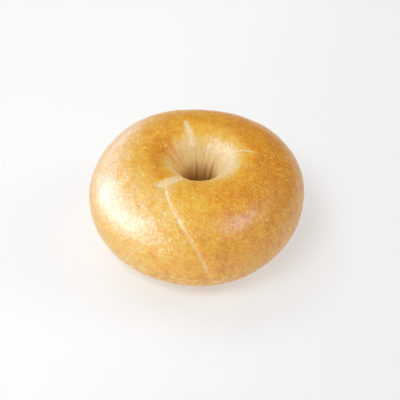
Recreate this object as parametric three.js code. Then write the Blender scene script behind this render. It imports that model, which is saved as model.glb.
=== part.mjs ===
// A plain bagel: one boiled and baked ring of dough, in millimetres, +Z up. The origin is under the
// middle of the ring, on the surface that its flat foot rests on. The end of the dough rope was laid
// over its beginning. That left a slanting seam down the front, a tuck where the seam meets the lip
// of the hole, two short creases in the lip, and fine pleats down the funnel.

import * as THREE from "three";
import { ParametricGeometry } from "three/addons/geometries/ParametricGeometry.js";

const { clamp, degToRad, euclideanModulo, lerp, smoothstep } = THREE.MathUtils;

// The ring as a whole
const RING_DIAMETER = 108;
const RING_HEIGHT = 50;
const BELT_HEIGHT = 25; // where the ring is widest
const CREST_RADIUS = 25.5; // of the ring's highest line
const THROAT_RADIUS = 6.5; // of the hole at its narrowest
const THROAT_HEIGHT = 18;
const HOLE_OFFSET = 1.5; // the hole is this far to the right of the middle
const FOOT_INNER_RADIUS = 20;
const FOOT_OUTER_RADIUS = 33;

// How full each quarter of the tube's section is: 2 is an ellipse, and more is squarer
const SHOULDER_FULLNESS = 2.1;
const FUNNEL_FULLNESS = 2.25;
const UNDERSIDE_FULLNESS = 2.1;

// Places round the tube, in degrees of turn: 0 is the belt, and the turn goes up and over
const CREST_TURN = 90;
const THROAT_TURN = 180;
const FOOT_INNER_TURN = 234;
const FOOT_OUTER_TURN = 252;
const FULL_TURN = 360;
const FOOT_MIDDLE_TURN = (FOOT_INNER_TURN + FOOT_OUTER_TURN) / 2;
const RELIEF_OFF_FOOT = 45; // this far from the middle of the foot, the relief has its full depth

// Slow unevenness along the ring, each wave as [waves in the ring, height, phase in degrees]
const BELT_WAVES = [[1, 0.8, 294], [2, 0.3, 57], [3, 0.35, 90], [4, 0.3, 66], [5, 0.15, 291]];
const TOP_WAVES = [[1, 0.4, 200], [3, 0.35, 40], [4, 0.2, 150]];
const CREST_WAVES = [[2, 0.8, 160], [3, 0.5, 70]];

// The seam: its place along the ring, in degrees, is a parabola of the turn up to its corner
const SEAM_AT_BELT = 275;
const SEAM_SLOPE = -0.12;
const SEAM_BEND = -0.0039;
const SEAM_CORNER_TURN = 83.5;
const SEAM_RETURN = 0.4; // past its corner it turns back, this many degrees for each of turn
const SEAM_END_TURN = 116;
const SEAM_FOOT_TURN = -60; // where it has died away, below the belt
const SEAM_SLANT = 0.55; // tangent of its slant across the section
const SEAM_GROOVE = { depth: 0.3, width: 1.0 };
const SEAM_VALLEY = { depth: 0.5, width: 7 };
const SEAM_SHOULDER = { height: 0.35, from: 3.6, width: 3 };

// The tuck and the two creases: the turns between which each is deepest, its place along the ring
// at the first of them, and how many degrees it moves along the ring for each degree of turn
const CREASES = [
  { from: 84, to: 113, along: 233.2, slope: 0.28, width: 2.6, depth: 0.9 },
  { from: 89, to: 116, along: 103.7, slope: 0.03, width: 1.8, depth: 0.45 },
  { from: 86, to: 124, along: 5.6, slope: 0.3, width: 0.9, depth: 0.45 },
];
const CREASE_EASE = 8; // degrees of turn in which a crease dies away past its ends

// The pleats down the funnel, unevenly spaced and of uneven depth
const PLEATS = 20;
const PLEAT_PHASE = 27; // degrees of one pleat's swing
const PLEAT_DEPTH = 0.3;
const PLEAT_EVEN_SHARE = 0.5; // the share of the depth that every pleat has
const PLEAT_SHARPNESS = 1.2; // under 2, the furrows are narrower than the folds between them
const PLEAT_TWIST = 0.12; // degrees along the ring for each degree of turn
const PLEAT_SPACING_WAVES = [[10, 0.5, 324], [3, 0.4, 150]];
const PLEAT_DEPTH_WAVES = [[1, 0.2, 65], [13, 0.3, 120]];
const PLEAT_TOP_TURN = 104;
const PLEAT_FULL_TURN = 148;
const PLEAT_FADE_TURN = 186;
const PLEAT_END_TURN = 206;

// The grid that the surface is drawn on
const STEPS_ALONG = 132;
const STEPS_ROUND = 40;
const SEAM_SQUEEZE = 0.18; // draws the steps along the ring together at the seam
const SQUEEZE_WAVES = 4;

const CRUST_COLOUR = new THREE.Color(0.79, 0.47, 0.15);
const CRUST_ROUGHNESS = 0.45;

/** Sum of slow waves along the ring, at an angle in degrees. */
function waves(list, along) {
  return list.reduce(
    (sum, [count, height, phase]) => sum + height * Math.cos(degToRad(count * along - phase)),
    0,
  );
}

/** A smooth hill of height 1 at 0, and nearly 0 beyond twice its width. */
function hill(distance, width) {
  return Math.exp(-((distance / width) ** 2));
}

/** 1 between two turns, falling smoothly to 0 over the ease outside them. */
function stretch(turn, from, to, ease) {
  return smoothstep(turn, from - ease, from) * (1 - smoothstep(turn, to, to + ease));
}

/** A quarter of a superellipse: the shares along its two half-axes, at a share of the quarter. */
function quarter(share, fullness) {
  const angle = (share * Math.PI) / 2;
  return [
    Math.abs(Math.cos(angle)) ** (2 / fullness),
    Math.abs(Math.sin(angle)) ** (2 / fullness),
  ];
}

/** Radius and height of the smooth ring, at a turn round the tube and a place along the ring. */
function section(turn, along) {
  const belt = RING_DIAMETER / 2 + waves(BELT_WAVES, along);
  const top = RING_HEIGHT + waves(TOP_WAVES, along);
  const crest = CREST_RADIUS + waves(CREST_WAVES, along);
  if (turn < CREST_TURN) {
    const [out, up] = quarter(turn / CREST_TURN, SHOULDER_FULLNESS);
    return [lerp(crest, belt, out), lerp(BELT_HEIGHT, top, up)];
  }
  if (turn < THROAT_TURN) {
    const share = (turn - CREST_TURN) / (THROAT_TURN - CREST_TURN);
    const [up, inward] = quarter(share, FUNNEL_FULLNESS);
    return [lerp(crest, THROAT_RADIUS, inward), lerp(THROAT_HEIGHT, top, up)];
  }
  if (turn < FOOT_INNER_TURN) {
    const share = (turn - THROAT_TURN) / (FOOT_INNER_TURN - THROAT_TURN);
    const [inward, down] = quarter(share, UNDERSIDE_FULLNESS);
    return [lerp(FOOT_INNER_RADIUS, THROAT_RADIUS, inward), THROAT_HEIGHT * (1 - down)];
  }
  if (turn < FOOT_OUTER_TURN) {
    const share = (turn - FOOT_INNER_TURN) / (FOOT_OUTER_TURN - FOOT_INNER_TURN);
    return [lerp(FOOT_INNER_RADIUS, FOOT_OUTER_RADIUS, share), 0];
  }
  const share = (turn - FOOT_OUTER_TURN) / (FULL_TURN - FOOT_OUTER_TURN);
  const [down, out] = quarter(share, UNDERSIDE_FULLNESS);
  return [lerp(FOOT_OUTER_RADIUS, belt, out), BELT_HEIGHT * (1 - down)];
}

/** The turn counted from the belt, below it negative. */
function turnFromBelt(turn) {
  return turn > FOOT_INNER_TURN ? turn - FULL_TURN : turn;
}

/** Where the seam's line runs along the ring, in degrees. It comes back under the foot. */
function seamAlong(turn) {
  const upper = clamp(turnFromBelt(turn), 0, SEAM_CORNER_TURN);
  const lower = Math.min(turnFromBelt(turn), 0);
  const past = clamp(turnFromBelt(turn), SEAM_CORNER_TURN, SEAM_END_TURN) - SEAM_CORNER_TURN;
  const bent = SEAM_BEND * upper ** 2 + SEAM_RETURN * past;
  const front = SEAM_AT_BELT + SEAM_SLOPE * (upper + lower) + bent;
  const foot = SEAM_AT_BELT + SEAM_SLOPE * (FOOT_INNER_TURN - FULL_TURN);
  const back = turn > FOOT_INNER_TURN ? 0 : smoothstep(turn, THROAT_TURN, FOOT_INNER_TURN);
  return lerp(front, foot, back);
}

/** Signed angle from one place along the ring to another, from -180 to 180 degrees. */
function angleTo(along, from) {
  return euclideanModulo(along - from + 180, 360) - 180;
}

/** The seam's groove, the broad valley round it and the shoulder of the rope's end beside it. */
function seamRelief(turn, along, radius) {
  const away = degToRad(angleTo(along, seamAlong(turn))) * radius;
  const across = away * Math.cos(Math.atan(SEAM_SLANT));
  const place = turnFromBelt(turn);
  const here =
    smoothstep(place, SEAM_FOOT_TURN, 0) *
    (1 - smoothstep(place, SEAM_CORNER_TURN, SEAM_END_TURN));
  return (
    here *
    (SEAM_SHOULDER.height * hill(across - SEAM_SHOULDER.from, SEAM_SHOULDER.width) -
      SEAM_GROOVE.depth * hill(across, SEAM_GROOVE.width) -
      SEAM_VALLEY.depth * hill(across, SEAM_VALLEY.width))
  );
}

/** The tuck and the two short creases in the lip of the hole. */
function creaseRelief(turn, along, radius) {
  return CREASES.reduce((sum, crease) => {
    const line = crease.along + crease.slope * (turn - crease.from);
    const across = degToRad(angleTo(along, line)) * radius;
    const here = stretch(turn, crease.from, crease.to, CREASE_EASE);
    return sum - crease.depth * here * hill(across, crease.width);
  }, 0);
}

/** The pleats: narrow furrows down the funnel, with broader folds between them. */
function pleatRelief(turn, along) {
  const place = along - PLEAT_TWIST * (turn - CREST_TURN);
  const swing = degToRad(place * PLEATS + PLEAT_PHASE) + waves(PLEAT_SPACING_WAVES, place);
  const furrow = 1 - 2 * Math.abs(Math.sin(swing / 2)) ** PLEAT_SHARPNESS;
  const depth = PLEAT_EVEN_SHARE + waves(PLEAT_DEPTH_WAVES, place);
  const here =
    smoothstep(turn, PLEAT_TOP_TURN, PLEAT_FULL_TURN) *
    (1 - smoothstep(turn, PLEAT_FADE_TURN, PLEAT_END_TURN));
  return -PLEAT_DEPTH * depth * furrow * here;
}

/** The share of the way along the ring, with the steps drawn together at the seam. */
function squeezed(share) {
  let place = share;
  for (let k = 1; k <= SQUEEZE_WAVES; k++) {
    const swing = 2 * Math.PI * k;
    place -= (SEAM_SQUEEZE * Math.sin(swing * share)) / swing;
  }
  return place;
}

/** The point of the dough's skin for shares of the way along the ring and round the tube. */
function doughPoint(shareAlong, shareRound, target) {
  const turn = (shareRound % 1) * FULL_TURN;
  const along = seamAlong(turn) + squeezed(shareAlong) * 360;
  const [radius, height] = section(turn, along);
  const relief =
    seamRelief(turn, along, radius) +
    creaseRelief(turn, along, radius) +
    pleatRelief(turn, along);
  const offFoot = smoothstep(
    Math.abs(turn - FOOT_MIDDLE_TURN),
    FOOT_OUTER_TURN - FOOT_MIDDLE_TURN,
    RELIEF_OFF_FOOT,
  );
  const outward = new THREE.Vector2(radius - CREST_RADIUS, height - BELT_HEIGHT);
  outward.setLength(relief * offFoot);
  const r = radius + outward.x;
  const nearHole = 1 - (r - THROAT_RADIUS) / (RING_DIAMETER / 2 - THROAT_RADIUS);
  target.set(
    r * Math.cos(degToRad(along)) + HOLE_OFFSET * clamp(nearHole, 0, 1),
    r * Math.sin(degToRad(along)),
    height + outward.y,
  );
}

/** The ring's skin as one closed mesh, moved so that its outline is centred on the origin. */
function ringGeometry() {
  const geometry = new ParametricGeometry(doughPoint, STEPS_ALONG, STEPS_ROUND);
  geometry.computeBoundingBox();
  const middle = geometry.boundingBox.getCenter(new THREE.Vector3());
  return geometry.translate(-middle.x, -middle.y, 0);
}

const crust = new THREE.MeshStandardMaterial({
  color: CRUST_COLOUR,
  roughness: CRUST_ROUGHNESS,
  metalness: 0,
});

const bagel = new THREE.Mesh(ringGeometry(), crust);
bagel.name = "bagel";

const part = new THREE.Group();
part.add(bagel);

export default part;
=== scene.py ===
"""A plain bagel: one ring of dough with a golden crust, lying on a pale table in soft light.

The skin follows the same sizes as the solid that carries it. A seam slants down the front, a tuck and two
creases mark the lip of the hole, and pleats run down its funnel. The blisters, the unevenness and the
wrinkles of the crust are added here, and so is the way it browned.
"""

from __future__ import annotations

import logging
import math
from collections.abc import Callable, Sequence
from dataclasses import dataclass, field
from enum import Enum

import bmesh
import bpy
import numpy as np
from mathutils import Matrix, Vector, noise


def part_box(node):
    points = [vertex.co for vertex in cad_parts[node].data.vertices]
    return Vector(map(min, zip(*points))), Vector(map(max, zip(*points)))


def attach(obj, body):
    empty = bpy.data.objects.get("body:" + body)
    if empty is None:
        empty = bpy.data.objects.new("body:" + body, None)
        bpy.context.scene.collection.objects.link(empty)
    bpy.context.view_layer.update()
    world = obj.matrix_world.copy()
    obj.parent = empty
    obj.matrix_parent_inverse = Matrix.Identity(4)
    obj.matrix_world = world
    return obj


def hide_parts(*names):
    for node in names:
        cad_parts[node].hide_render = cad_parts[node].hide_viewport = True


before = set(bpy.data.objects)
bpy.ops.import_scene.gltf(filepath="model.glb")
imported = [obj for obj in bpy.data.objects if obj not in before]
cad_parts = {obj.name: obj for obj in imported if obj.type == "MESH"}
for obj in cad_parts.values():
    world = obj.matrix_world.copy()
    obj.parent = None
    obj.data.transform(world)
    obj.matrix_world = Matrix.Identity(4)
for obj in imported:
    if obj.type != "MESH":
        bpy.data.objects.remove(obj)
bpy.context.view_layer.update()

MM = 0.001  # one millimetre in metres
LOG = logging.getLogger("bagel")
WINDOW_TINT = (0.46, 0.65, 1.0)  # the cool light of a window

Numbers = np.ndarray
Triple = tuple[float, float, float]
Colour = Triple
Sample = Callable[[list[float]], float]
Socket = bpy.types.NodeSocket


class Use(Enum):
    """What a light is for: to light the bagel, or to gleam in its crust."""

    FILL = "fill"
    GLEAM = "gleam"


class Mask(Enum):
    """The measures that the skin carries from point to point, by the names of their attributes."""

    BROWNED = "browned"
    PALE = "pale"
    SEAM = "seam"
    FURROW = "furrow"
    HOLE_SHADE = "deep"
    PIT_SHADE = "pit_shade"
    FOOT = "foot"


class Shift(Enum):
    """How far each noise is moved, so that no two run alike."""

    SWELLS = 0.0
    BLISTERS = 3.0
    DRIFT = 5.0
    GAPS = 8.0
    RIPPLES = 20.0
    MOTTLE = 40.0
    FUNNEL = 60.0


def smoothstep(value: Numbers, low: float, high: float) -> Numbers:
    """The smooth step from 0 at low to 1 at high."""
    share = np.clip((value - low) / (high - low), 0.0, 1.0)
    return share * share * (3.0 - 2.0 * share)


def hill(distance: Numbers, width: float | Numbers) -> Numbers:
    """A smooth hill of height 1 at 0, and nearly 0 beyond twice its width."""
    return np.exp(-((distance / width) ** 2))


def stretch(turn: Numbers, start: float, end: float, ease: float) -> Numbers:
    """1 between two turns, falling smoothly to 0 over the ease outside them."""
    return smoothstep(turn, start - ease, start) * (1.0 - smoothstep(turn, end, end + ease))


def evenly(value: float) -> Triple:
    """The same number for each axis."""
    return value, value, value


def lerp(start: float | Numbers, end: float | Numbers, share: Numbers) -> Numbers:
    """The value at a share of the way from start to end."""
    return start + (end - start) * share


def angle_to(along: Numbers, start: float | Numbers) -> Numbers:
    """Signed angle from one place along the ring to another, from -180 to 180 degrees."""
    return (along - start + 180.0) % 360.0 - 180.0


def fractal(fade: float, finer: float, octaves: int) -> Sample:
    """A noise with finer and finer layers.

    Args:
        fade: How fast the finer layers fade.
        finer: How much finer each layer is than the one before.
        octaves: How many layers there are.

    Returns:
        The noise, of one point.
    """
    return lambda place: noise.fractal(place, fade, finer, octaves)


def at_points(sample: Sample, points: Numbers, size: float, shift: Shift) -> Numbers:
    """Reads a noise at many points.

    Args:
        sample: The noise, of one point.
        points: One row for each point, in millimetres.
        size: How many millimetres one cell of the noise takes.
        shift: How far it is moved.

    Returns:
        One number for each point.
    """
    places = (points / size + shift.value).tolist()
    return np.fromiter((sample(place) for place in places), float, len(places))


@dataclass(frozen=True)
class Wave:
    """One slow wave along the ring.

    Attributes:
        count: How many waves fit in the ring.
        height: Its height.
        phase: Where its crest is, in degrees.
    """

    count: int
    height: float
    phase: float


def swell(waves: Sequence[Wave], along: Numbers) -> Numbers:
    """The sum of slow waves at places along the ring, in degrees."""
    return sum(wave.height * np.cos(np.radians(wave.count * along - wave.phase)) for wave in waves)


@dataclass(frozen=True)
class Ring:
    """The smooth ring of dough, in millimetres.

    A turn round the tube is 0 at the belt, 90 at the crest and 180 at the throat of the hole.
    """

    diameter: float = 108.0
    height: float = 50.0
    belt_height: float = 25.0
    crest_radius: float = 25.5
    throat_radius: float = 6.5
    throat_height: float = 18.0
    hole_offset: float = 1.5
    foot_inner_radius: float = 20.0
    foot_outer_radius: float = 33.0
    shoulder_fullness: float = 2.1
    funnel_fullness: float = 2.25
    underside_fullness: float = 2.1
    crest_turn: float = 90.0
    throat_turn: float = 180.0
    foot_inner_turn: float = 234.0
    foot_outer_turn: float = 252.0
    relief_off_foot: float = 45.0
    belt_waves: tuple[Wave, ...] = (
        Wave(1, 0.8, 294), Wave(2, 0.3, 57), Wave(3, 0.35, 90), Wave(4, 0.3, 66), Wave(5, 0.15, 291),
    )
    top_waves: tuple[Wave, ...] = (Wave(1, 0.4, 200), Wave(3, 0.35, 40), Wave(4, 0.2, 150))
    crest_waves: tuple[Wave, ...] = (Wave(2, 0.8, 160), Wave(3, 0.5, 70))

    @staticmethod
    def quarter(share: Numbers, fullness: float) -> tuple[Numbers, Numbers]:
        """The shares along the two half-axes of a superellipse, at a share of its quarter."""
        angle = np.clip(share, 0.0, 1.0) * math.pi / 2
        return np.abs(np.cos(angle)) ** (2 / fullness), np.abs(np.sin(angle)) ** (2 / fullness)

    def section(self, turn: Numbers, along: Numbers) -> tuple[Numbers, Numbers]:
        """Radius and height of the smooth ring.

        Args:
            turn: Places round the tube, from 0 to 360 degrees.
            along: Places along the ring, in degrees.

        Returns:
            The distance from the ring's axis and the height over the table, in millimetres.
        """
        belt = self.diameter / 2 + swell(self.belt_waves, along)
        top = self.height + swell(self.top_waves, along)
        crest = self.crest_radius + swell(self.crest_waves, along)
        out, up = self.quarter(turn / self.crest_turn, self.shoulder_fullness)
        shoulder = lerp(crest, belt, out), lerp(self.belt_height, top, up)
        share = (turn - self.crest_turn) / (self.throat_turn - self.crest_turn)
        up, inward = self.quarter(share, self.funnel_fullness)
        funnel = lerp(crest, self.throat_radius, inward), lerp(self.throat_height, top, up)
        share = (turn - self.throat_turn) / (self.foot_inner_turn - self.throat_turn)
        inward, down = self.quarter(share, self.underside_fullness)
        under = lerp(self.foot_inner_radius, self.throat_radius, inward), self.throat_height * (1 - down)
        share = (turn - self.foot_inner_turn) / (self.foot_outer_turn - self.foot_inner_turn)
        foot = lerp(self.foot_inner_radius, self.foot_outer_radius, share), np.zeros_like(turn)
        share = (turn - self.foot_outer_turn) / (360.0 - self.foot_outer_turn)
        down, out = self.quarter(share, self.underside_fullness)
        flank = lerp(self.foot_outer_radius, belt, out), self.belt_height * (1 - down)
        ends = self.crest_turn, self.throat_turn, self.foot_inner_turn, self.foot_outer_turn
        arcs = [turn < end for end in ends]
        return tuple(
            np.select(arcs, values, last) for *values, last in zip(shoulder, funnel, under, foot, flank)
        )

    @property
    def foot_turn(self) -> float:
        """The middle of the flat foot."""
        return (self.foot_inner_turn + self.foot_outer_turn) / 2

    def from_belt(self, turn: Numbers) -> Numbers:
        """The turn counted from the belt, below it negative."""
        return np.where(turn > self.foot_inner_turn, turn - 360.0, turn)

    def off_foot(self, turn: Numbers) -> Numbers:
        """0 on the flat foot, growing to 1 where the relief has its full depth."""
        half = self.foot_outer_turn - self.foot_turn
        return smoothstep(np.abs(turn - self.foot_turn), half, self.relief_off_foot)

    def place(self, along: Numbers, radius: Numbers, height: Numbers) -> Numbers:
        """Points from the ring's own measures, with the hole off the middle.

        Args:
            along: Places along the ring, in degrees.
            radius: The distance from the ring's axis.
            height: The height over the table.

        Returns:
            One row for each point, in millimetres.
        """
        near_hole = 1.0 - (radius - self.throat_radius) / (self.diameter / 2 - self.throat_radius)
        angle = np.radians(along)
        x = radius * np.cos(angle) + self.hole_offset * np.clip(near_hole, 0.0, 1.0)
        return np.stack([x, radius * np.sin(angle), height], axis=-1)


@dataclass(frozen=True)
class Seam:
    """The line where the rope's end was laid over its beginning, in degrees and millimetres."""

    at_belt: float = 275.0
    slope: float = -0.12
    bend: float = -0.0039
    corner_turn: float = 83.5
    turn_back: float = 0.4
    end_turn: float = 116.0
    gone_turn: float = -60.0
    slant: float = 0.55
    groove_depth: float = 0.3
    groove_width: float = 1.0
    valley_depth: float = 0.5
    valley_width: float = 7.0
    shoulder_height: float = 0.35
    shoulder_from: float = 3.6
    shoulder_width: float = 3.0
    scar_width: float = 1.3
    scar_edge: float = 0.5
    scar_turns: tuple[float, ...] = (-40.0, -10.0, 10.0, 30.0, 60.0, 74.0, 86.0)
    scar_strengths: tuple[float, ...] = (0.62, 0.68, 0.68, 0.62, 0.54, 0.5, 0.5)
    scar_widths: tuple[float, ...] = (0.95, 1.05, 1.1, 1.05, 1.0, 1.4, 2.0)

    def along(self, ring: Ring, turn: Numbers) -> Numbers:
        """Where the line runs along the ring. It comes back under the foot.

        Args:
            ring: The ring that it lies on.
            turn: Places round the tube, in degrees.

        Returns:
            The line's place along the ring at each turn, in degrees.
        """
        place = ring.from_belt(turn)
        upper = np.clip(place, 0.0, self.corner_turn)
        past = np.clip(place, self.corner_turn, self.end_turn) - self.corner_turn
        bent = self.bend * upper**2 + self.turn_back * past
        front = self.at_belt + self.slope * (upper + np.minimum(place, 0.0)) + bent
        foot = self.at_belt + self.slope * (ring.foot_inner_turn - 360.0)
        back = smoothstep(turn, ring.throat_turn, ring.foot_inner_turn) * (turn <= ring.foot_inner_turn)
        return lerp(front, foot, back)

    def across(self, ring: Ring, turn: Numbers, along: Numbers, radius: Numbers) -> Numbers:
        """Signed distance from the line, positive on the side of the rope's end."""
        away = np.radians(angle_to(along, self.along(ring, turn))) * radius
        return away * math.cos(math.atan(self.slant))

    def here(self, ring: Ring, turn: Numbers) -> Numbers:
        """How much of the seam is there.

        Args:
            ring: The ring that it lies on.
            turn: Places round the tube, in degrees.

        Returns:
            1 on the front of the ring, dying away below the belt and in the funnel.
        """
        place = ring.from_belt(turn)
        top = 1.0 - smoothstep(place, self.corner_turn, self.end_turn)
        return smoothstep(place, self.gone_turn, 0.0) * top

    def relief(self, across: Numbers) -> Numbers:
        """Groove, valley and shoulder beside each other, over the smooth ring.

        Args:
            across: The signed distance from the line, in millimetres.

        Returns:
            The height, in millimetres.
        """
        shoulder = self.shoulder_height * hill(across - self.shoulder_from, self.shoulder_width)
        groove = self.groove_depth * hill(across, self.groove_width)
        return shoulder - groove - self.valley_depth * hill(across, self.valley_width)

    def scar(self, place: Numbers, across: Numbers) -> Numbers:
        """The pale line of dough that the oven didn't brown, sharp on the side of the rope's end.

        Args:
            place: Turns from the belt, in degrees.
            across: The signed distance from the line, in millimetres.

        Returns:
            How pale each place is, from 0 to 1.
        """
        width = np.where(across > 0.0, self.scar_edge, self.scar_width)
        width = width * np.interp(place, self.scar_turns, self.scar_widths)
        return np.interp(place, self.scar_turns, self.scar_strengths) * hill(across, width)


@dataclass(frozen=True)
class Crease:
    """A short fold in the lip of the hole.

    Attributes:
        start: The turn from which it is deepest.
        end: The turn to which it is deepest.
        at: Its place along the ring at the start, in degrees.
        slope: How far it moves along the ring for each degree of turn.
        width: Its half-width in millimetres.
        depth: Its depth in millimetres.
        pale_width: The half-width of the pale dough in it.
        pale: How pale it is, from 0 to 1.
        ease: Over how many degrees of turn it dies away.
        pale_past_end: How many degrees further the pale dough goes.
        widening: The turns past the start over which the pale dough widens, in degrees.
        tip_width: The share of its width that the pale dough starts with.
    """

    start: float
    end: float
    at: float
    slope: float
    width: float
    depth: float
    pale_width: float
    pale: float
    ease: float = 8.0
    pale_past_end: float = 9.0
    widening: float = 12.0
    tip_width: float = 0.4

    def across(self, turn: Numbers, along: Numbers, radius: Numbers) -> Numbers:
        """Signed distance from the fold's line."""
        line = self.at + self.slope * (turn - self.start)
        return np.radians(angle_to(along, line)) * radius

    def here(self, turn: Numbers) -> Numbers:
        """1 along the fold, dying away past its ends."""
        return stretch(turn, self.start, self.end, self.ease)

    def paled(self, turn: Numbers, along: Numbers, radius: Numbers) -> Numbers:
        """How pale the dough in it is, narrow at its outer end.

        Args:
            turn: Places round the tube, in degrees.
            along: Places along the ring, in degrees.
            radius: The ring's radius there, in millimetres.

        Returns:
            A number from 0 to 1 for each place.
        """
        widened = smoothstep(turn, self.start - self.ease, self.start + self.widening)
        width = self.pale_width * lerp(self.tip_width, 1.0, widened)
        here = stretch(turn, self.start, self.end + self.pale_past_end, self.ease)
        return self.pale * here * hill(self.across(turn, along, radius), width)


@dataclass(frozen=True)
class Tuck:
    """The pale wedge of dough left of the seam's corner, in degrees.

    Its two sides are given by their places along the ring at the same turns.
    """

    turns: tuple[float, ...] = (79.0, 85.0, 91.0, 97.0, 104.0, 110.0, 120.0)
    left: tuple[float, ...] = (230.5, 228.0, 228.5, 230.0, 231.5, 232.5, 234.5)
    right: tuple[float, ...] = (231.0, 237.0, 239.5, 242.0, 245.0, 247.5, 249.0)
    ease: float = 2.0
    paleness: float = 0.88
    end_turn: float = 106.0
    faded_turn: float = 124.0

    def pale(self, turn: Numbers, along: Numbers) -> Numbers:
        """How pale the dough in the wedge is.

        Args:
            turn: Places round the tube.
            along: Places along the ring.

        Returns:
            A number from 0 to 1 for each place.
        """
        left = angle_to(along, np.interp(turn, self.turns, self.left))
        right = -angle_to(along, np.interp(turn, self.turns, self.right))
        inside = smoothstep(left, -self.ease, self.ease) * smoothstep(right, -self.ease, self.ease)
        ends = smoothstep(turn, self.turns[0] - self.ease, self.turns[0] + self.ease)
        ends = ends * (1.0 - smoothstep(turn, self.end_turn, self.faded_turn))
        return self.paleness * inside * ends


@dataclass(frozen=True)
class Pleats:
    """The furrows down the funnel, unevenly spaced and of uneven depth."""

    count: int = 20
    phase: float = 27.0
    depth: float = 0.3
    even_share: float = 0.5
    sharpness: float = 1.2
    twist: float = 0.12
    spacing_waves: tuple[Wave, ...] = (Wave(10, 0.5, 324), Wave(3, 0.4, 150))
    depth_waves: tuple[Wave, ...] = (Wave(1, 0.2, 65), Wave(13, 0.3, 120))
    top_turn: float = 104.0
    full_turn: float = 148.0
    fade_turn: float = 186.0

    def furrow(self, ring: Ring, turn: Numbers, along: Numbers) -> Numbers:
        """How deep in a furrow each place is.

        Args:
            ring: The ring that they lie on.
            turn: Places round the tube, in degrees.
            along: Places along the ring, in degrees.

        Returns:
            Up to 1 in a furrow, down to -1 on the fold beside it, and 0 outside the funnel.
        """
        place = along - self.twist * (turn - ring.crest_turn)
        swing = np.radians(place * self.count + self.phase) + swell(self.spacing_waves, place)
        shape = 1.0 - 2.0 * np.abs(np.sin(swing / 2)) ** self.sharpness
        here = stretch(turn, self.full_turn, self.fade_turn, self.full_turn - self.top_turn)
        return shape * (self.even_share + swell(self.depth_waves, place)) * here


@dataclass(frozen=True)
class Patch:
    """A stretch of crust that browned more, or with a negative strength less, than the rest. The pits use
    it for their painted shade.

    Attributes:
        along: Its middle along the ring, in degrees.
        turn: Its middle round the tube, in degrees.
        length: Its half-length along the ring, in millimetres.
        breadth: Its half-breadth round the tube, in degrees.
        strength: How much browner it is.
    """

    along: float
    turn: float
    length: float
    breadth: float
    strength: float

    def mask(self, turn: Numbers, along: Numbers, radius: Numbers) -> Numbers:
        """Its share of browning at each place."""
        away = np.radians(angle_to(along, self.along)) * radius / self.length
        return self.strength * np.exp(-(away**2) - ((turn - self.turn) / self.breadth) ** 2)


@dataclass(frozen=True)
class Streak:
    """A furrow in which the painted shade of the hole reaches higher, in degrees.

    Attributes:
        along: Its place along the ring.
        reach: Its half-width along the ring.
        higher: How much higher the dark reaches.
    """

    along: float
    reach: float
    higher: float


@dataclass(frozen=True)
class Crust:
    """The small relief of a boiled and baked crust, in millimetres. The wrinkles' places are in degrees."""

    swell_size: float = 13.0
    swell_height: float = 0.22
    ripple_size: float = 4.2
    ripple_height: float = 0.07
    blister_spacing: float = 2.6
    blister_height: float = 0.1
    blister_reach: float = 0.5
    wrinkle_spacing: float = 4.4
    wrinkle_depth: float = 0.12
    wrinkle_at: float = 258.0
    wrinkle_turn: float = -8.0
    wrinkle_reach: float = 26.0
    wrinkle_rise: float = 22.0
    drift: float = 5.0
    drift_size: float = 9.0
    gap_size: float = 4.0
    gap_ends: tuple[float, float] = (-0.2, 0.3)

    def blisters(self, points: Numbers) -> Numbers:
        """Low round domes, one in each cell, of uneven height.

        Args:
            points: One row for each point, in millimetres.

        Returns:
            The height at each point, in millimetres.
        """

        def dome(place: list[float]) -> float:
            """The height at one place, from 0 to 1."""
            distances, centres = noise.voronoi(place)
            share = max(0.0, 1.0 - (distances[0] / self.blister_reach) ** 2)
            return share * share * (0.5 + 0.5 * noise.cell(centres[0]))

        return self.blister_height * at_points(dome, points, self.blister_spacing, Shift.BLISTERS)

    def wrinkles(self, turn: Numbers, along: Numbers, points: Numbers) -> Numbers:
        """Fine level wrinkles low on the front.

        Args:
            turn: Turns from the belt, in degrees.
            along: Places along the ring, in degrees.
            points: The points there, in millimetres.

        Returns:
            The height at each point, in millimetres.
        """
        aside = angle_to(along, self.wrinkle_at)
        here = hill(turn - self.wrinkle_turn, self.wrinkle_rise) * hill(aside, self.wrinkle_reach)
        drift = self.drift * at_points(noise.noise, points, self.drift_size, Shift.DRIFT)
        level = np.sin(2 * math.pi * turn / self.wrinkle_spacing + drift)
        broken = smoothstep(at_points(noise.noise, points, self.gap_size, Shift.GAPS), *self.gap_ends)
        return -self.wrinkle_depth * here * broken * (1.0 - np.abs(level)) ** 2

    def relief(self, turn: Numbers, along: Numbers, points: Numbers) -> Numbers:
        """All of the small relief, outwards from the smooth skin.

        Args:
            turn: Turns from the belt, in degrees.
            along: Places along the ring, in degrees.
            points: The points there, in millimetres.

        Returns:
            The height at each point, in millimetres.
        """
        rough = fractal(fade=0.9, finer=2.0, octaves=2)
        swells = self.swell_height * at_points(rough, points, self.swell_size, Shift.SWELLS)
        ripples = self.ripple_height * at_points(rough, points, self.ripple_size, Shift.RIPPLES)
        return swells + ripples + self.blisters(points) + self.wrinkles(turn, along, points)


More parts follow.
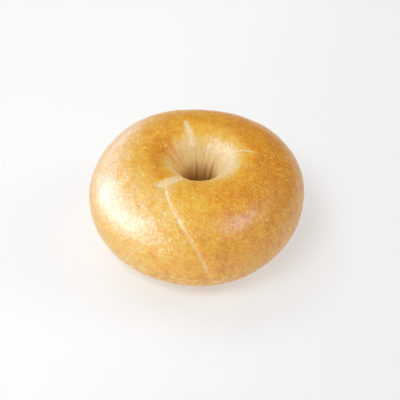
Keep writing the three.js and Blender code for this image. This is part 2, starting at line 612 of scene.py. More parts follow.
@dataclass(frozen=True)
class Baking:
    """Where the oven browned the crust, where the dough stayed pale, and where shade is painted deep in the
    hole and in the pits. Angles are in degrees.
    """

    ground: float = 0.64
    crust_waves: tuple[Wave, ...] = (Wave(1, 0.225, 18), Wave(2, 0.03, 282), Wave(3, 0.03, 146))
    lip_ground: float = 0.51
    lip_waves: tuple[Wave, ...] = (Wave(1, 0.155, 168), Wave(2, 0.045, 358), Wave(3, 0.065, 123))
    lip_from: float = 84.0
    lip_to: float = 102.0
    foot_paler: float = 0.07
    paler_below: float = -45.0
    paler_to: float = 15.0
    mottle: float = 0.17
    mottle_size: float = 11.0
    funnel_edge: float = 111.5
    funnel_ease: float = 20.0
    funnel_waves: tuple[Wave, ...] = (
        Wave(1, 4.8, 150), Wave(2, 4.5, 175), Wave(3, 4.5, 110), Wave(4, 2.5, 53),
    )
    funnel_fray: float = 9.0
    funnel_fray_size: float = 6.0
    straw_at: float = 175.0
    straw_reach: float = 60.0
    straw_share: float = 0.35
    # Painted shade deep in the hole, and the furrows up which it climbs
    deep_from: float = 141.0
    deep_to: float = 168.0
    deep_past_throat: float = 20.0
    deep_streaks: tuple[Streak, ...] = (
        Streak(97.5, 2.0, 8.0), Streak(68.0, 4.0, 6.0), Streak(43.0, 4.5, 8.0),
    )
    foot_half: float = 9.0
    foot_edge: float = 24.0
    patches: tuple[Patch, ...] = (
        Patch(158, 100, 5.5, 9, 0.58),
        Patch(212, 88, 2.5, 5, 0.2),
        Patch(196, 102, 6.0, 8, 0.16),
        Patch(224, 91, 2.0, 5, 0.52),
        Patch(266, 97, 2.5, 6, 0.24),
        Patch(31, 87, 3.0, 5, 0.1),
        Patch(334, 50, 14.0, 13, 0.13),
        Patch(334, 43, 4.0, 6, 0.12),
        Patch(284, 17, 3.0, 9, 0.24),
        Patch(293, 16, 2.5, 6, 0.18),
        Patch(282, -3, 4.0, 8, 0.22),
        Patch(318, 12, 1.6, 7, 0.18),
        Patch(246, 8, 2.2, 6, 0.5),
        Patch(255, -14, 1.8, 4, 0.45),
        Patch(240, -8, 1.8, 4, 0.4),
        Patch(186, 97, 9.0, 8, 0.28),
        Patch(250, 55, 13.0, 34, -0.22),
        Patch(264, 72, 8.0, 10, -0.15),
        Patch(298, 104, 9.0, 11, -0.2),
        Patch(322, -12, 12.0, 18, -0.16),
        Patch(226, 47, 1.5, 3, 0.4),
        # Painted shade: browner here only to darken crust that the lights make too bright
        Patch(300, 48, 10.0, 9, 0.1),
        Patch(240, 80, 7.0, 12, -0.28),
        Patch(178, 64, 26.0, 10, -0.2),
        Patch(236, 10, 20.0, 26, -0.19),
        Patch(338, 44, 7.0, 12, 0.24),
        Patch(348, 40, 2.5, 5, 0.25),
        Patch(4, 66, 3.0, 4, 0.2),
        Patch(330, 70, 10.0, 10, 0.1),
        Patch(300, 12, 12.0, 10, 0.09),
        Patch(225, -22, 16.0, 10, -0.1),
        Patch(20, 70, 24.0, 13, 0.28),
        Patch(330, 62, 20.0, 16, 0.06),
        Patch(318, 32, 10.0, 10, 0.08),
        Patch(285, 57, 10.0, 8, 0.07),
        Patch(283, 9, 8.0, 10, 0.14),
        Patch(205, 91, 12.0, 6, 0.14),
        Patch(220, 50, 8.0, 6, 0.08),
        Patch(2, 52, 14.0, 10, 0.24),
        Patch(150, 62, 18.0, 9, -0.1),
        Patch(325, 100, 14.0, 10, -0.18),
        Patch(14, 91, 12.0, 7, -0.08),
        Patch(262, 33, 5.0, 12, -0.08),
        Patch(55, 114, 24.0, 8, -0.3),
        Patch(305, -20, 16.0, 9, -0.11),
    )
    # Painted shade: dark spots for the shade inside the few open pits
    pits: tuple[Patch, ...] = (
        Patch(213.1, 47.7, 0.7, 1.4, 0.8),
        Patch(212, 64.5, 0.5, 1.0, 0.6),
        Patch(16, 65, 0.6, 1.2, 1.0),
        Patch(284.5, 17.9, 0.6, 1.2, 0.6),
        Patch(296.7, 29.2, 0.6, 1.2, 0.6),
    )

    def browned(self, place: Numbers, along: Numbers, radius: Numbers, points: Numbers) -> Numbers:
        """How far each place browned.

        Args:
            place: Turns from the belt, in degrees.
            along: Places along the ring, in degrees.
            radius: The ring's radius there, in millimetres.
            points: The points there, in millimetres.

        Returns:
            A number from 0, raw, to 1, dark, for each place.
        """
        rough = fractal(fade=0.8, finer=2.1, octaves=4)
        crust = self.ground + swell(self.crust_waves, along)
        lip = self.lip_ground + swell(self.lip_waves, along)
        result = lerp(crust, lip, smoothstep(place, self.lip_from, self.lip_to))
        result += self.mottle * at_points(rough, points, self.mottle_size, Shift.MOTTLE)
        result -= self.foot_paler * (1.0 - smoothstep(place, self.paler_below, self.paler_to))
        for patch in self.patches:
            result += patch.mask(place, along, radius)
        return result

    def pale(self, ring: Ring, turn: Numbers, along: Numbers, points: Numbers) -> Numbers:
        """Where the dough in the funnel stayed pale.

        Args:
            ring: The ring.
            turn: Places round the tube, in degrees.
            along: Places along the ring, in degrees.
            points: The points there, in millimetres.

        Returns:
            A number from 0, browned, to 1, pale, for each place.
        """
        edge = self.funnel_edge + swell(self.funnel_waves, along)
        edge += self.funnel_fray * at_points(noise.noise, points, self.funnel_fray_size, Shift.FUNNEL)
        here = smoothstep(turn - edge, -self.funnel_ease, self.funnel_ease) * (turn < ring.foot_inner_turn)
        return here * (1.0 - self.straw_share * hill(angle_to(along, self.straw_at), self.straw_reach))

    def deep(self, ring: Ring, turn: Numbers, along: Numbers) -> Numbers:
        """Where the hole is deep and painted shade darkens the dough, reaching higher in a few furrows.

        Args:
            ring: The ring.
            turn: Places round the tube, in degrees.
            along: Places along the ring, in degrees.

        Returns:
            A number from 0 to 1 for each place.
        """
        place = turn
        for streak in self.deep_streaks:
            place = place + streak.higher * hill(angle_to(along, streak.along), streak.reach)
        end = ring.throat_turn + self.deep_past_throat
        return stretch(place, self.deep_to, end, self.deep_to - self.deep_from)

    def pitted(self, place: Numbers, along: Numbers, radius: Numbers) -> Numbers:
        """The painted shade of the few open pits in the crust."""
        return sum(pit_shade.mask(place, along, radius) for pit_shade in self.pits)

    def footed(self, ring: Ring, turn: Numbers) -> Numbers:
        """1 on the flat foot, falling to 0 beside it."""
        return 1.0 - smoothstep(np.abs(turn - ring.foot_turn), self.foot_half, self.foot_edge)


@dataclass(frozen=True)
class Fade:
    """A smooth step of a value.

    Attributes:
        low: The value at which it starts.
        high: The value at which it ends. It can be the lower of the two.
        start: The result at the start and before it.
        end: The result at the end and past it.
    """

    low: float
    high: float
    start: float = 0.0
    end: float = 1.0


@dataclass(frozen=True)
class Grain:
    """A soft noise.

    Attributes:
        size: The size of its features, in millimetres.
        detail: How many finer layers it has.
        weight: How much each finer layer counts.
    """

    size: float
    detail: float
    weight: float


@dataclass(frozen=True)
class Specks:
    """One kind of round speck in the crust.

    Attributes:
        spacing: How far apart they lie, in millimetres.
        share: How many of the places have one, from 0 to 1.
        size: How far they reach, as a share of the spacing.
        strength: How strongly they colour the crust.
        relief: How far they stand out, or with a negative number are sunk.
    """

    spacing: float
    share: float
    size: float
    strength: float
    relief: float


SPECK_LEAST = 0.5  # how far the smallest speck reaches, as a share of its kind's size
SPECK_SPREAD = 0.6  # how much further the largest reaches
SPECK_EDGE = Fade(1.0, 0.3)
SPECK_DOME = Fade(1.3, 0.0)


class Wiring:
    """Adds nodes to a tree and joins them, so that a finish reads as a recipe."""

    def __init__(self, tree: bpy.types.NodeTree) -> None:
        """Takes the tree that the nodes go in."""
        self.tree = tree

    def node(self, kind: str, inputs: dict | None = None, **settings: object) -> bpy.types.Node:
        """Adds one node.

        Args:
            kind: The node's type.
            inputs: By the input's name or number, a value or the socket that feeds it.
            settings: The node's own settings.

        Returns:
            The new node.
        """
        made = self.tree.nodes.new(kind)
        for name, value in settings.items():
            setattr(made, name, value)
        for name, value in (inputs or {}).items():
            self.feed(made.inputs[name], value)
        return made

    def feed(self, socket: Socket, value: object) -> None:
        """Sets an input, or joins it to the socket that feeds it.

        Args:
            socket: The input.
            value: A number, a colour, a vector or the socket that feeds it.
        """
        if isinstance(value, Socket):
            self.tree.links.new(value, socket)
        elif socket.type == "RGBA":
            socket.default_value = (*value, 1.0)
        else:
            socket.default_value = value

    def calc(self, operation: str, first: object, second: object, clamp: bool = False) -> Socket:
        """One step of arithmetic on two numbers."""
        made = self.node("ShaderNodeMath", {0: first, 1: second}, operation=operation, use_clamp=clamp)
        return made.outputs[0]

    def plus(self, first: object, second: object) -> Socket:
        """The sum of two numbers."""
        return self.calc("ADD", first, second)

    def times(self, first: object, second: object) -> Socket:
        """The product of two numbers."""
        return self.calc("MULTIPLY", first, second)

    def most(self, first: object, second: object) -> Socket:
        """The greater of two numbers."""
        return self.calc("MAXIMUM", first, second)

    def vector(self, operation: str, *values: object) -> Socket:
        """One step of arithmetic on vectors."""
        made = self.node("ShaderNodeVectorMath", dict(enumerate(values)), operation=operation)
        return made.outputs["Value" if operation == "DOT_PRODUCT" else "Vector"]

    def fade(self, value: object, fade: Fade) -> Socket:
        """A smooth step of a value.

        Args:
            value: The number that it depends on.
            fade: Its ends.

        Returns:
            The result, a number.
        """
        inputs = {"Value": value, "From Min": fade.low, "From Max": fade.high}
        inputs |= {"To Min": fade.start, "To Max": fade.end}
        return self.node("ShaderNodeMapRange", inputs, interpolation_type="SMOOTHSTEP").outputs[0]

    def mix(self, share: object, first: object, second: object) -> Socket:
        """A mix of two colours, at a share of the way from the first to the second."""
        made = self.node("ShaderNodeMix", {0: share}, data_type="RGBA")
        self.feed(made.inputs[6], first)
        self.feed(made.inputs[7], second)
        return made.outputs[2]

    def noise(self, place: object, grain: Grain) -> Socket:
        """A soft noise."""
        inputs = {"Vector": place, "Scale": 1.0 / grain.size, "Detail": grain.detail}
        return self.node("ShaderNodeTexNoise", inputs | {"Roughness": grain.weight}).outputs[0]

    def cells(self, place: object, density: object) -> tuple[Socket, Sequence[Socket]]:
        """A pattern of cells.

        Args:
            place: The coordinates.
            density: How many cells go in a millimetre.

        Returns:
            The distance from the cell's middle, and three random numbers of the cell's own.
        """
        made = self.node("ShaderNodeTexVoronoi", {"Vector": place, "Scale": density})
        chances = self.node("ShaderNodeSeparateColor", {0: made.outputs["Color"]}).outputs
        return made.outputs["Distance"], chances

    def mask(self, mask: Mask) -> Socket:
        """One of the measures that the skin carries."""
        return self.node("ShaderNodeAttribute", attribute_name=mask.value).outputs["Fac"]

    def ramp(self, share: object, stops: Sequence[tuple[float, Colour]]) -> Socket:
        """A colour from a row of stops.

        Args:
            share: The place in the row, from 0 to 1.
            stops: The place and the colour of each stop, in order.

        Returns:
            The colour at the place.
        """
        made = self.node("ShaderNodeValToRGB", {0: share})
        elements = made.color_ramp.elements
        elements.remove(elements[1])
        elements[0].position, elements[0].color = stops[0][0], (*stops[0][1], 1.0)
        for position, colour in stops[1:]:
            elements.new(position).color = (*colour, 1.0)
        return made.outputs[0]


def specks_group() -> bpy.types.NodeTree:
    """Round specks of uneven size, in some of the cells of a pattern.

    Returns:
        A node group with the place, density, share and size as inputs. Its outputs are the specks' mask and
        their domes, which are softer and a little wider.
    """
    tree = bpy.data.node_groups.new("Specks", "ShaderNodeTree")
    tree.interface.new_socket("Place", in_out="INPUT", socket_type="NodeSocketVector")
    for name in ("Density", "Share", "Size"):
        tree.interface.new_socket(name, in_out="INPUT", socket_type="NodeSocketFloat")
    for name in ("Mask", "Dome"):
        tree.interface.new_socket(name, in_out="OUTPUT", socket_type="NodeSocketFloat")
    wiring = Wiring(tree)
    inside = wiring.node("NodeGroupInput").outputs
    distance, chances = wiring.cells(inside["Place"], inside["Density"])
    present = wiring.calc("LESS_THAN", chances[0], inside["Share"])
    uneven = wiring.plus(wiring.times(chances[1], SPECK_SPREAD), SPECK_LEAST)
    edge = wiring.calc("DIVIDE", distance, wiring.times(inside["Size"], uneven))
    masks = {
        "Mask": wiring.times(wiring.fade(edge, SPECK_EDGE), present),
        "Dome": wiring.times(wiring.fade(edge, SPECK_DOME), present),
    }
    wiring.node("NodeGroupOutput", masks)
    return tree


@dataclass(frozen=True)
class Patterns:
    """The patterns that the crust's colour, relief and gloss read.

    Attributes:
        fine: Fine noise.
        broad: Broad noise.
        grain: The finest noise.
        grit: A random number for each small cell.
        streaks: Streaks that run down the funnel.
        flecks: Level flecks low on the ring.
        dots: The mask of each kind of speck.
        domes: The dome of each kind of speck.
    """

    fine: Socket
    broad: Socket
    grain: Socket
    grit: Socket
    streaks: Socket
    flecks: Socket
    dots: tuple[Socket, ...]
    domes: tuple[Socket, ...]


@dataclass(frozen=True)
class CrustFinish:
    """The crust's colours, patterns, relief and gloss. Lengths are in millimetres."""

    raw: Colour = (0.87, 0.64, 0.30)
    straw: Colour = (0.88, 0.555, 0.08)
    gold: Colour = (0.85, 0.45, 0.026)
    amber: Colour = (0.80, 0.325, 0.006)
    brown: Colour = (0.66, 0.21, 0.003)
    cream: Colour = (0.89, 0.70, 0.38)
    scar: Colour = (0.89, 0.70, 0.39)
    speck: Colour = (0.93, 0.61, 0.13)
    blister: Colour = (0.96, 0.69, 0.22)
    # Painted shade: the dark laid into the pleats' furrows and deep in the hole
    shade: Colour = (0.34, 0.125, 0.004)
    # Painted shade of the small open pits
    pit_shade: Colour = (0.30, 0.12, 0.03)
    foot: Colour = (0.52, 0.24, 0.06)
    stops: tuple[float, ...] = (0.0, 0.25, 0.48, 0.74, 1.0)
    bubbles: Specks = Specks(1.6, 0.65, 0.43, 0.8, 0.55)
    blisters: Specks = Specks(2.6, 0.7, 0.36, 0.6, 0.4)
    freckles: Specks = Specks(3.2, 0.35, 0.34, 0.5, -0.3)
    fine: Grain = Grain(2.0, 3.0, 0.6)
    broad: Grain = Grain(5.5, 2.0, 0.55)
    grain: Grain = Grain(1.15, 1.0, 0.5)
    streak: Grain = Grain(1.0, 2.0, 0.6)
    fleck: Grain = Grain(3.0, 1.5, 0.5)
    grit_density: float = 0.85
    stir_density: float = 0.7
    stir: float = 0.8
    streak_round: float = 9.0
    streak_down: Triple = (0.03, 0.03, 0.1)
    fleck_flatness: Triple = (1.0, 1.0, 2.4)
    fleck_edge: Fade = Fade(0.36, 0.66, -0.8, 1.0)
    fleck_heights: Fade = Fade(27.0, 13.0)
    fine_browning: Fade = Fade(0.25, 0.75, -0.14, 0.2)
    broad_browning: Fade = Fade(0.3, 0.7, -0.13, 0.12)
    fleck_browning: float = 0.46
    pale_grit: Fade = Fade(0.6, 1.0, 0.0, 0.6)
    dark_grit: Fade = Fade(0.45, 0.0, 0.0, 0.5)
    pale_grain: Fade = Fade(0.5, 0.68, 0.0, 0.4)
    dark_grain: Fade = Fade(0.5, 0.3, 0.0, 0.65)
    dough_fray: Fade = Fade(0.3, 0.7, -0.3, 0.16)
    dough_edge: Fade = Fade(0.06, 1.0)
    dough_streaks: Fade = Fade(0.4, 0.7, 0.1, 0.6)
    # Painted shade in the pleats' furrows, and how much of it lies deep in the hole
    furrow_shade: Fade = Fade(0.1, 0.9, 0.0, 0.08)
    deep_shade: float = 0.92
    seam_fray: Fade = Fade(0.25, 0.75, -0.3, 0.14)
    seam_grit: Fade = Fade(0.5, 1.0, 0.0, -0.12)
    seam_edge: Fade = Fade(0.08, 0.95, 0.0, 0.92)
    pit_strength: float = 0.8
    fine_relief: float = 0.9
    broad_relief: float = 1.6
    fleck_relief: float = -0.35
    bump_depth: float = 0.35
    roughness: Fade = Fade(0.2, 0.8, 0.37, 0.55)
    dough_rougher: float = 0.17
    dough_duller: float = 0.9
    refraction: float = 1.6
    specular: float = 0.5
    coat: float = 0.5
    coat_roughness: float = 0.34
    scatter: float = 0.12
    scatter_reach: float = 1.5
    scatter_tint: Colour = (1.0, 0.5, 0.2)

    def material(self) -> bpy.types.Material:
        """Builds the crust's material.

        Returns:
            The material, with its layers of colour laid over each other from the crust up.
        """
        made = bpy.data.materials.new("golden_crust")
        made.use_nodes = True
        made.node_tree.nodes.clear()
        wiring = Wiring(made.node_tree)
        patterns = self.patterns(wiring)
        pale, worn = self.pale(wiring, patterns), self.worn(wiring, patterns)
        bare = wiring.most(pale, worn)
        shine = wiring.plus(1.0, wiring.times(bare, -self.dough_duller))
        height = self.height(wiring, patterns)
        relief = {"Strength": 1.0, "Distance": self.bump_depth * MM, "Height": height}
        bump = wiring.node("ShaderNodeBump", relief)
        rough = wiring.fade(patterns.fine, self.roughness)
        rough = wiring.plus(rough, wiring.times(bare, self.dough_rougher))
        shader = wiring.node(
            "ShaderNodeBsdfPrincipled",
            {
                "Base Color": self.colour(wiring, patterns, pale, worn),
                "Roughness": rough,
                "Normal": bump.outputs[0],
                "IOR": self.refraction,
                "Specular IOR Level": self.specular,
                "Coat Weight": wiring.times(shine, self.coat),
                "Coat Roughness": self.coat_roughness,
                "Subsurface Weight": self.scatter,
                "Subsurface Radius": self.scatter_tint,
                "Subsurface Scale": self.scatter_reach * MM,
            },
        )
        wiring.node("ShaderNodeOutputMaterial", {"Surface": shader.outputs[0]})
        return made

    def place(self, wiring: Wiring) -> Socket:
        """The object's coordinates in millimetres, a little stirred so that no cell is round.

        Args:
            wiring: The material's nodes.

        Returns:
            The coordinates.
        """
        coordinates = wiring.node("ShaderNodeTexCoord").outputs["Object"]
        inputs = {"Vector": coordinates, "Scale": evenly(1 / MM)}
        scaled = wiring.node("ShaderNodeMapping", inputs).outputs[0]
        inputs = {"Vector": scaled, "Scale": self.stir_density, "Detail": 1.0}
        drift = wiring.node("ShaderNodeTexNoise", inputs).outputs["Color"]
        return wiring.vector("ADD", scaled, wiring.vector("MULTIPLY", drift, evenly(self.stir)))

    def patterns(self, wiring: Wiring) -> Patterns:
        """Makes the patterns that everything else reads.

        Args:
            wiring: The material's nodes.

        Returns:
            The patterns.
        """
        place = self.place(wiring)
        group = specks_group()
        dots, domes = [], []
        for kind in (self.bubbles, self.blisters, self.freckles):
            inputs = {"Place": place, "Density": 1.0 / kind.spacing, "Share": kind.share, "Size": kind.size}
            made = wiring.node("ShaderNodeGroup", node_tree=group)
            for name, value in inputs.items():
                wiring.feed(made.inputs[name], value)
            dots.append(wiring.times(made.outputs["Mask"], kind.strength))
            domes.append(wiring.times(made.outputs["Dome"], kind.relief))
        return Patterns(
            fine=wiring.noise(place, self.fine),
            broad=wiring.noise(place, self.broad),
            grain=wiring.noise(place, self.grain),
            grit=wiring.cells(place, self.grit_density)[1][0],
            streaks=self.streaks(wiring, place),
            flecks=self.flecks(wiring, place),
            dots=tuple(dots),
            domes=tuple(domes),
        )

    def streaks(self, wiring: Wiring, place: Socket) -> Socket:
        """Noise drawn out into streaks that run down the funnel.

        Args:
            wiring: The material's nodes.
            place: The coordinates.

        Returns:
            The noise.
        """
        level = wiring.vector("MULTIPLY", place, (1.0, 1.0, 0.0))
        outwards = wiring.vector("NORMALIZE", level)
        wide = wiring.vector("MULTIPLY", outwards, evenly(self.streak_round))
        down = wiring.vector("MULTIPLY", place, self.streak_down)
        return wiring.noise(wiring.vector("ADD", wide, down), self.streak)

    def flecks(self, wiring: Wiring, place: Socket) -> Socket:
        """Level flecks low on the ring.

        Args:
            wiring: The material's nodes.
            place: The coordinates.

        Returns:
            0 above them, and below from -0.8, pale, to 1, brown.
        """
        drawn = wiring.vector("MULTIPLY", place, self.fleck_flatness)
        height = wiring.node("ShaderNodeSeparateXYZ", {0: place}).outputs["Z"]
        fleck = wiring.fade(wiring.noise(drawn, self.fleck), self.fleck_edge)
        return wiring.times(fleck, wiring.fade(height, self.fleck_heights))

    def pale(self, wiring: Wiring, patterns: Patterns) -> Socket:
        """How far the dough in the funnel stayed pale, with a frayed edge."""
        frayed = wiring.plus(wiring.mask(Mask.PALE), wiring.fade(patterns.streaks, self.dough_fray))
        return wiring.fade(frayed, self.dough_edge)

    def worn(self, wiring: Wiring, patterns: Patterns) -> Socket:
        """How far the dough in the seam, the tuck and the creases stayed pale.

        Args:
            wiring: The material's nodes.
            patterns: The crust's patterns.

        Returns:
            A number from 0, browned, to nearly 1, pale.
        """
        frayed = wiring.plus(wiring.mask(Mask.SEAM), wiring.fade(patterns.fine, self.seam_fray))
        frayed = wiring.plus(frayed, wiring.fade(patterns.grit, self.seam_grit))
        return wiring.fade(frayed, self.seam_edge)

    def baked(self, wiring: Wiring, patterns: Patterns) -> Socket:
        """The colour of the baked crust, with its grain and its specks.

        Args:
            wiring: The material's nodes.
            patterns: The crust's patterns.

        Returns:
            The colour.
        """
        browned = wiring.plus(wiring.mask(Mask.BROWNED), wiring.fade(patterns.fine, self.fine_browning))
        browned = wiring.plus(browned, wiring.times(patterns.flecks, self.fleck_browning))
        broad = wiring.fade(patterns.broad, self.broad_browning)
        browned = wiring.calc("ADD", browned, broad, clamp=True)
        shades = (self.raw, self.straw, self.gold, self.amber, self.brown)
        colour = wiring.ramp(browned, tuple(zip(self.stops, shades)))
        bubbles, blisters, freckles = patterns.dots
        layers = (
            (wiring.fade(patterns.grit, self.pale_grit), wiring.mix(browned, self.speck, self.gold)),
            (wiring.fade(patterns.grit, self.dark_grit), self.amber),
            (wiring.fade(patterns.grain, self.pale_grain), self.straw),
            (wiring.fade(patterns.grain, self.dark_grain), self.amber),
            (bubbles, wiring.mix(browned, self.speck, self.straw)),
            (blisters, wiring.mix(browned, self.blister, self.speck)),
            (freckles, self.brown),
        )
        for share, over in layers:
            colour = wiring.mix(share, colour, over)
        return colour

    def colour(self, wiring: Wiring, patterns: Patterns, pale: Socket, worn: Socket) -> Socket:
        """The colour of the whole skin.

        Args:
            wiring: The material's nodes.
            patterns: The crust's patterns.
            pale: How far the dough in the funnel stayed pale.
            worn: How far the dough in the seam and the creases stayed pale.

        Returns:
            The colour.
        """
        dough = wiring.mix(wiring.fade(patterns.streaks, self.dough_streaks), self.cream, self.straw)
        # Painted shade: the furrows of the pleats and the deep of the hole are darkened
        furrow = wiring.fade(wiring.mask(Mask.FURROW), self.furrow_shade)
        deep = wiring.times(wiring.mask(Mask.HOLE_SHADE), self.deep_shade)
        layers = (
            (pale, dough),
            (wiring.most(furrow, deep), self.shade),
            (worn, self.scar),
            # Painted shade in the pits
            (wiring.calc("MULTIPLY", wiring.mask(Mask.PIT_SHADE), self.pit_strength, clamp=True), self.pit_shade),
            (wiring.mask(Mask.FOOT), self.foot),
        )
        colour = self.baked(wiring, patterns)
        for share, over in layers:
            colour = wiring.mix(share, colour, over)
        return colour

    def height(self, wiring: Wiring, patterns: Patterns) -> Socket:
        """The finest relief, too small for the skin's own points.

        Args:
            wiring: The material's nodes.
            patterns: The crust's patterns.

        Returns:
            The height.
        """
        parts = (
            wiring.times(patterns.broad, self.broad_relief),
            wiring.times(patterns.flecks, self.fleck_relief),
            *patterns.domes,
        )
        height = wiring.times(patterns.fine, self.fine_relief)
        for part in parts:
            height = wiring.plus(height, part)
        return height


@dataclass
class BagelCrust:
    """The one piece of the object: the ring's skin with its relief and its crust."""

    ring: Ring = field(default_factory=Ring)
    seam: Seam = field(default_factory=Seam)
    creases: tuple[Crease, ...] = (
        Crease(84, 113, 233.2, 0.28, 2.6, 0.9, 1.6, 0.0),
        Crease(89, 116, 103.7, 0.03, 1.8, 0.45, 2.5, 0.95),
        Crease(86, 124, 5.6, 0.3, 0.9, 0.45, 0.8, 1.0),
    )
    tuck: Tuck = field(default_factory=Tuck)
    pleats: Pleats = field(default_factory=Pleats)
    crust: Crust = field(default_factory=Crust)
    baking: Baking = field(default_factory=Baking)
    finish: CrustFinish = field(default_factory=CrustFinish)
    blank_radius: float = 2.0
    steps_along: int = 100
    steps_round: int = 62
    cuts: int = 3
    seam_squeeze: float = 0.18
    squeeze_waves: int = 4

    def build(self) -> bpy.types.Object:
        """Builds the skin, shapes it, marks where it browned and dresses it.

        Returns:
            The finished piece, standing where its solid stands.
        """
        mesh = bpy.data.meshes.new("bagel_crust")
        shape = self.blank()
        shape.to_mesh(mesh)
        shape.free()
        places = np.empty(len(mesh.vertices) * 3)
        mesh.vertices.foreach_get("co", places)
        places = places.reshape(-1, 3)
        share = np.arctan2(places[:, 1], places[:, 0]) / (2 * math.pi) % 1.0
        outwards = np.hypot(places[:, 0], places[:, 1]) - self.blank_radius
        turn = np.degrees(np.arctan2(places[:, 2], outwards)) % 360.0
        along = (self.seam.along(self.ring, turn) + 360.0 * self.squeezed(share)) % 360.0
        points, radius = self.skin(turn, along)
        mesh.vertices.foreach_set("co", (points * MM).ravel())
        self.mark(mesh, turn, along, radius, points)
        mesh.shade_smooth()
        mesh.update()
        mesh.materials.append(self.finish.material())
        piece = bpy.data.objects.new("bagel_crust", mesh)
        bpy.context.scene.collection.objects.link(piece)
        return piece

    def blank(self) -> bmesh.types.BMesh:
        """A plain ring: a circle of radius 1, spun round an axis beside it, then cut finer.

        Returns:
            The ring, whose points still have to be moved to their places.
        """
        shape = bmesh.new()
        circle = bmesh.ops.create_circle(shape, radius=1.0, segments=self.steps_round)["verts"]
        bmesh.ops.rotate(shape, verts=circle, cent=(0, 0, 0), matrix=Matrix.Rotation(math.pi / 2, 3, "X"))
        bmesh.ops.translate(shape, verts=circle, vec=(self.blank_radius, 0, 0))
        bmesh.ops.spin(
            shape,
            geom=shape.verts[:] + shape.edges[:],
            cent=(0, 0, 0),
            axis=(0, 0, 1),
            dvec=(0, 0, 0),
            angle=2 * math.pi,
            steps=self.steps_along,
            use_merge=True,
            use_duplicate=False,
        )
        bmesh.ops.subdivide_edges(shape, edges=shape.edges[:], cuts=self.cuts, use_grid_fill=True)
        bmesh.ops.recalc_face_normals(shape, faces=shape.faces)
        return shape

    def squeezed(self, share: Numbers) -> Numbers:
        """Draws the steps along the ring together at the seam.

        Args:
            share: Evenly spaced shares of the way along the ring, from 0 to 1.

        Returns:
            The shares, closer to each other near 0 and 1.
        """
        place = share.copy()
        for k in range(1, self.squeeze_waves + 1):
            place -= self.seam_squeeze * np.sin(2 * math.pi * k * share) / (2 * math.pi * k)
        return place

    def skin(self, turn: Numbers, along: Numbers) -> tuple[Numbers, Numbers]:
        """The shaped skin.

        Args:
            turn: Places round the tube, in degrees.
            along: Places along the ring, in degrees.

        Returns:
            The points in millimetres, and the smooth ring's radius at each.
        """
        radius, height = self.ring.section(turn, along)
        across = self.seam.across(self.ring, turn, along, radius)
        relief = self.seam.here(self.ring, turn) * self.seam.relief(across)
        for crease in self.creases:
            cut = hill(crease.across(turn, along, radius), crease.width)
            relief -= crease.depth * crease.here(turn) * cut
        relief -= self.pleats.depth * self.pleats.furrow(self.ring, turn, along)
        out = np.stack([radius - self.ring.crest_radius, height - self.ring.belt_height])
        out /= np.hypot(*out)
        coarse = relief * self.ring.off_foot(turn)
        points = self.ring.place(along, radius + coarse * out[0], height + coarse * out[1])
        fine = self.crust.relief(self.ring.from_belt(turn), along, points) * self.ring.off_foot(turn)
        total = coarse + fine
        shaped = self.ring.place(along, radius + total * out[0], height + total * out[1])
        return shaped + self.to_frame(points), radius

    @staticmethod
    def to_frame(points: Numbers) -> Numbers:
        """How far the ring is from its solid's place.

        Args:
            points: The ring's points, in millimetres.

        Returns:
            The move that brings its middle over the solid's, in millimetres.
        """
        low, high = (np.array(corner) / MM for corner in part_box("bagel"))
        shift = (low + high) / 2 - (points.min(0) + points.max(0)) / 2
        return np.array([shift[0], shift[1], 0.0])

    def mark(
        self, mesh: bpy.types.Mesh, turn: Numbers, along: Numbers, radius: Numbers, points: Numbers
    ) -> None:
        """Writes the measures that the crust's material reads.

        Args:
            mesh: The skin.
            turn: Places round the tube, in degrees.
            along: Places along the ring, in degrees.
            radius: The smooth ring's radius at each point.
            points: The points, in millimetres.
        """
        place = self.ring.from_belt(turn)
        across = self.seam.across(self.ring, turn, along, radius)
        seam = self.seam.here(self.ring, turn) * self.seam.scar(place, across)
        for crease in self.creases:
            seam = np.maximum(seam, crease.paled(turn, along, radius))
        seam = np.maximum(seam, self.tuck.pale(turn, along))
        values = {
            Mask.BROWNED: self.baking.browned(place, along, radius, points),
            Mask.PALE: self.baking.pale(self.ring, turn, along, points),
            Mask.SEAM: seam,
            Mask.FURROW: self.pleats.furrow(self.ring, turn, along),
            Mask.HOLE_SHADE: self.baking.deep(self.ring, turn, along),
            Mask.PIT_SHADE: self.baking.pitted(place, along, radius),
            Mask.FOOT: self.baking.footed(self.ring, turn),
        }
        for mask, value in values.items():
            attribute = mesh.attributes.new(mask.value, "FLOAT", "POINT")
            attribute.data.foreach_set("value", value.astype(np.float32))


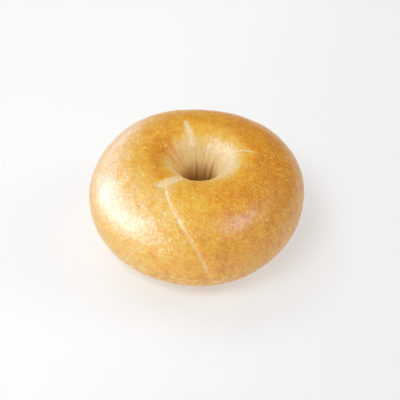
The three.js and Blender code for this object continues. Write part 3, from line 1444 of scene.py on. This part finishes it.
@dataclass(frozen=True)
class Table:
    """The pale table top that the bagel lies on, in metres. It is painted with shade that darkens towards
    the right front.
    """

    side: float = 6.0
    colour: Colour = (0.505, 0.507, 0.51)
    # Painted shade: the table's colour darkens towards the right front
    shaded_colour: Colour = (0.43, 0.43, 0.425)
    towards_shade: Triple = (0.95, -0.3, 0.0)
    shade_ends: Fade = Fade(-0.07, 0.13)
    glow: float = 0.45
    roughness: float = 0.7

    def build(self) -> bpy.types.Object:
        """Builds the table top.

        Returns:
            The table top.
        """
        shape = bmesh.new()
        bmesh.ops.create_grid(shape, x_segments=1, y_segments=1, size=self.side / 2)
        mesh = bpy.data.meshes.new("table_top")
        shape.to_mesh(mesh)
        shape.free()
        paint = bpy.data.materials.new("pale_table")
        paint.use_nodes = True
        shader = paint.node_tree.nodes["Principled BSDF"]
        wiring = Wiring(paint.node_tree)
        place = wiring.node("ShaderNodeTexCoord").outputs["Object"]
        # Painted shade, growing towards the right front
        far = wiring.fade(wiring.vector("DOT_PRODUCT", place, self.towards_shade), self.shade_ends)
        inputs = {
            "Base Color": wiring.mix(far, self.colour, self.shaded_colour),
            "Roughness": self.roughness,
            "Specular IOR Level": 0.0,
            "Emission Color": (1.0, 1.0, 1.0),
            "Emission Strength": self.glow,
        }
        for name, value in inputs.items():
            wiring.feed(shader.inputs[name], value)
        mesh.materials.append(paint)
        top = bpy.data.objects.new("table_top", mesh)
        bpy.context.scene.collection.objects.link(top)
        return top


@dataclass(frozen=True)
class SoftBox:
    """A flat light that faces the bagel.

    Attributes:
        name: Its name.
        bearing: Its direction from the bagel, in degrees from the right, and so round to the back.
        elevation: How high it stands, in degrees.
        distance: In metres.
        width: In metres.
        height: In metres.
        power: In watts.
        use: What it is for.
        colour: Its tint.
    """

    name: str
    bearing: float
    elevation: float
    distance: float
    width: float
    height: float
    power: float
    use: Use
    colour: Colour = (1.0, 1.0, 1.0)


@dataclass(frozen=True)
class Studio:
    """The soft light and the camera, which looks down at the bagel by its elevation in degrees."""

    boxes: tuple[SoftBox, ...] = (
        SoftBox("key_front_left", 228, 57, 1.1, 0.6, 0.4, 5.75, Use.FILL),
        SoftBox("fill_front_left", 245, 6, 1.1, 0.6, 0.4, 2.9, Use.FILL),
        SoftBox("fill_right", 6, 36, 1.1, 0.6, 0.4, 2.75, Use.FILL),
        SoftBox("fill_back_left", 138, 52, 1.1, 0.6, 0.4, 2.4, Use.FILL),
        SoftBox("fill_back", 90, 55, 1.1, 0.6, 0.4, 1.4, Use.FILL),
        SoftBox("window_back", 157, 18, 0.75, 0.42, 0.5, 7.3, Use.GLEAM, WINDOW_TINT),
        SoftBox("window_middle", 178, 4, 0.75, 0.4, 0.4, 6.5, Use.GLEAM, WINDOW_TINT),
        SoftBox("window_front", 205, 18, 0.75, 0.42, 0.5, 7.8, Use.GLEAM, WINDOW_TINT),
        SoftBox("window_top", 205, 42, 0.75, 0.3, 0.25, 0.5, Use.GLEAM, WINDOW_TINT),
        SoftBox("window_far", 120, 5, 0.75, 0.3, 0.25, 1.4, Use.GLEAM, WINDOW_TINT),
        SoftBox("lamp_right", 325, 44, 0.75, 0.32, 0.25, 2.9, Use.GLEAM, WINDOW_TINT),
    )
    sky: Colour = (1.0, 1.0, 1.0)
    sky_strength: float = 0.25
    elevation: float = 42.0
    distance: float = 0.7
    lens: float = 124.24
    sensor: float = 36.0
    aim: Triple = (0.00155, -0.00107, 0.02157)

    def build(self) -> None:
        """Sets up the sky, the lights and the camera."""
        scene = bpy.context.scene
        scene.view_settings.view_transform = "Standard"
        world = bpy.data.worlds.new("soft_sky")
        scene.world = world
        world.use_nodes = True
        background = world.node_tree.nodes["Background"]
        background.inputs["Color"].default_value = (*self.sky, 1.0)
        background.inputs["Strength"].default_value = self.sky_strength
        world.cycles_visibility.glossy = False
        for box in self.boxes:
            self.light(box)
        self.camera()

    def light(self, box: SoftBox) -> None:
        """Places one light so that it faces the bagel.

        Args:
            box: The light.
        """
        data = bpy.data.lights.new(box.name, "AREA")
        data.shape = "RECTANGLE"
        data.size = box.width
        data.size_y = box.height
        data.energy = box.power
        data.color = box.colour
        lamp = bpy.data.objects.new(box.name, data)
        lamp.visible_glossy = box.use is Use.GLEAM
        lamp.visible_diffuse = box.use is Use.FILL
        bearing, rise = math.radians(box.bearing), math.radians(box.elevation)
        level = math.cos(rise)
        towards = Vector((level * math.cos(bearing), level * math.sin(bearing), math.sin(rise)))
        lamp.location = Vector(self.aim) + towards * box.distance
        lamp.rotation_euler = towards.to_track_quat("Z", "Y").to_euler()
        bpy.context.scene.collection.objects.link(lamp)

    def camera(self) -> None:
        """Places the camera at the photograph's viewing angle."""
        data = bpy.data.cameras.new("camera")
        data.lens = self.lens
        data.sensor_width = self.sensor
        eye = bpy.data.objects.new("camera", data)
        tilt = math.radians(self.elevation)
        back = Vector((0.0, -math.cos(tilt), math.sin(tilt)))
        eye.location = Vector(self.aim) + back * self.distance
        eye.rotation_euler = back.to_track_quat("Z", "Y").to_euler()
        bpy.context.scene.collection.objects.link(eye)
        bpy.context.scene.camera = eye


def main() -> None:
    """Builds the bagel, its table and its light."""
    logging.basicConfig(level=logging.INFO, format="%(name)s: %(message)s")
    crust = BagelCrust().build()
    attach(crust, "root")
    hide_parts("bagel")
    LOG.info("%s: %d faces", crust.name, len(crust.data.polygons))
    table = Table().build()
    LOG.info("%s: %.1f m across", table.name, table.dimensions.x)
    Studio().build()


if __name__ == "__main__":
    main()
